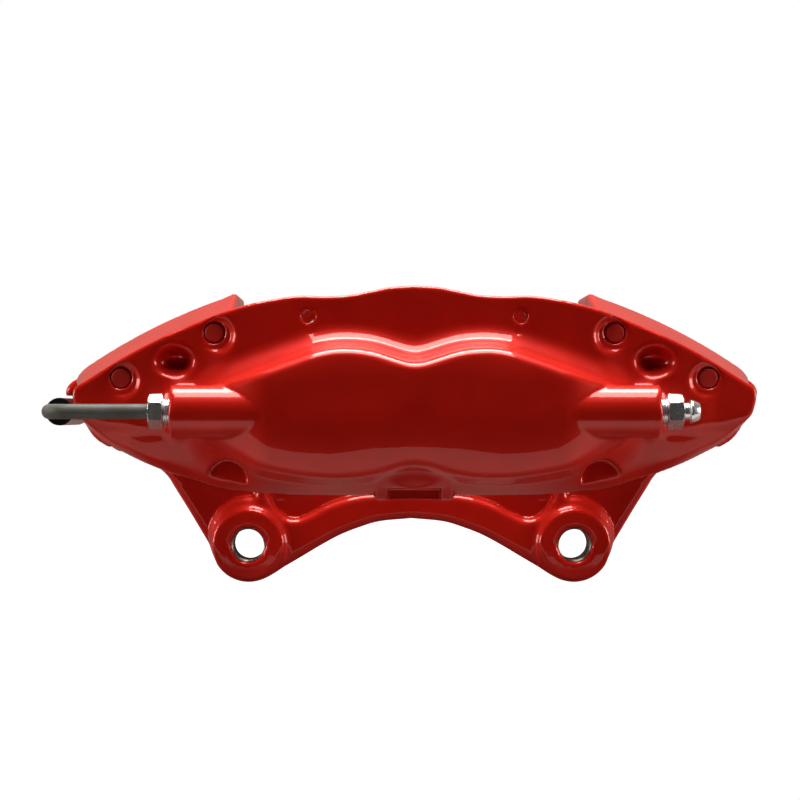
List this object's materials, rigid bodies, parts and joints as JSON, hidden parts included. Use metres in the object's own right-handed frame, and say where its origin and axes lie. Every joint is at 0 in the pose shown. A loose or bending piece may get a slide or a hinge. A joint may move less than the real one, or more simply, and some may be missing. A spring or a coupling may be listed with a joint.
{
  "type": "fixed brake caliper",
  "caption": "Split fixed brake caliper with opposed pistons, a crossover pipe at one end, bleed screws at the other and two threaded mounting ears.",
  "frame": {"origin": "midway between the two mounting holes, on the machined inboard faces of the ears", "axes": "+X along the caliper towards the bleed screws, +Y inboard along the disc axis, +Z away from the wheel centre"},
  "size_m": [0.2751, 0.126, 0.1129],
  "materials": {
    "caliper_paint": "gloss powder coat under clear lacquer",
    "zinc_plate": "bright zinc plate",
    "bolt_steel": "dark phosphate, painted over where it shows outboard",
    "insert_steel": "bare thread insert steel",
    "stainless_plate": "brushed stainless sheet",
    "piston_metal": "turned, hard anodised",
    "seal_rubber": "smooth square-section rubber",
    "boot_rubber": "matt moulded rubber",
    "tube_coating": "satin dark grey plastic coat on steel pipe",
    "sleeve_rubber": "gloss black sleeve"
  },
  "bodies": {
    "caliper_body": {"abutment_plate_inboard_left": "stainless_plate", "abutment_plate_inboard_right": "stainless_plate", "abutment_plate_outboard_left": "stainless_plate", "abutment_plate_outboard_right": "stainless_plate", "bridge_bolts": "bolt_steel", "crossover_sleeve": "sleeve_rubber", "crossover_tube": "tube_coating", "dust_boot_inboard_left": "boot_rubber", "dust_boot_inboard_right": "boot_rubber", "dust_boot_outboard_left": "boot_rubber", "dust_boot_outboard_right": "boot_rubber", "ear_inserts": "insert_steel", "inboard_half": "caliper_paint", "inboard_tube_nut": "zinc_plate", "locating_dowels": "bolt_steel", "outboard_half": "caliper_paint", "outboard_tube_nut": "zinc_plate", "piston_seal_inboard_left": "seal_rubber", "piston_seal_inboard_right": "seal_rubber", "piston_seal_outboard_left": "seal_rubber", "piston_seal_outboard_right": "seal_rubber", "plate_screws": "zinc_plate"},
    "piston_outboard_left": {"piston_outboard_left": "piston_metal"},
    "piston_outboard_right": {"piston_outboard_right": "piston_metal"},
    "piston_inboard_left": {"piston_inboard_left": "piston_metal"},
    "piston_inboard_right": {"piston_inboard_right": "piston_metal"},
    "outboard_bleed_screw": {"outboard_bleed_screw": "zinc_plate"},
    "inboard_bleed_screw": {"inboard_bleed_screw": "zinc_plate"}
  },
  "joints": [
    {"name": "outboard_left_piston_slide", "type": "slide", "parent": "caliper_body", "child": "piston_outboard_left", "axis": [0, 1, 0], "range_m": [0, 0.01], "deforming": ["dust_boot_outboard_left"]},
    {"name": "outboard_right_piston_slide", "type": "slide", "parent": "caliper_body", "child": "piston_outboard_right", "axis": [0, 1, 0], "range_m": [0, 0.01], "deforming": ["dust_boot_outboard_right"]},
    {"name": "inboard_left_piston_slide", "type": "slide", "parent": "caliper_body", "child": "piston_inboard_left", "axis": [0, -1, 0], "range_m": [0, 0.01], "deforming": ["dust_boot_inboard_left"]},
    {"name": "inboard_right_piston_slide", "type": "slide", "parent": "caliper_body", "child": "piston_inboard_right", "axis": [0, -1, 0], "range_m": [0, 0.01], "deforming": ["dust_boot_inboard_right"]},
    {"name": "outboard_bleed_turn", "type": "hinge", "parent": "caliper_body", "child": "outboard_bleed_screw", "pos_m": [0.088, -0.095, 0.053], "axis": [1, 0, 0], "range_deg": [0, 180]},
    {"name": "inboard_bleed_turn", "type": "hinge", "parent": "caliper_body", "child": "inboard_bleed_screw", "pos_m": [0.088, 0.011, 0.053], "axis": [1, 0, 0], "range_deg": [0, 180]}
  ],
  "couplings": [
    {"joint": "outboard_right_piston_slide", "follows": "outboard_left_piston_slide", "ratio": 1},
    {"joint": "inboard_left_piston_slide", "follows": "outboard_left_piston_slide", "ratio": 1},
    {"joint": "inboard_right_piston_slide", "follows": "outboard_left_piston_slide", "ratio": 1}
  ]
}
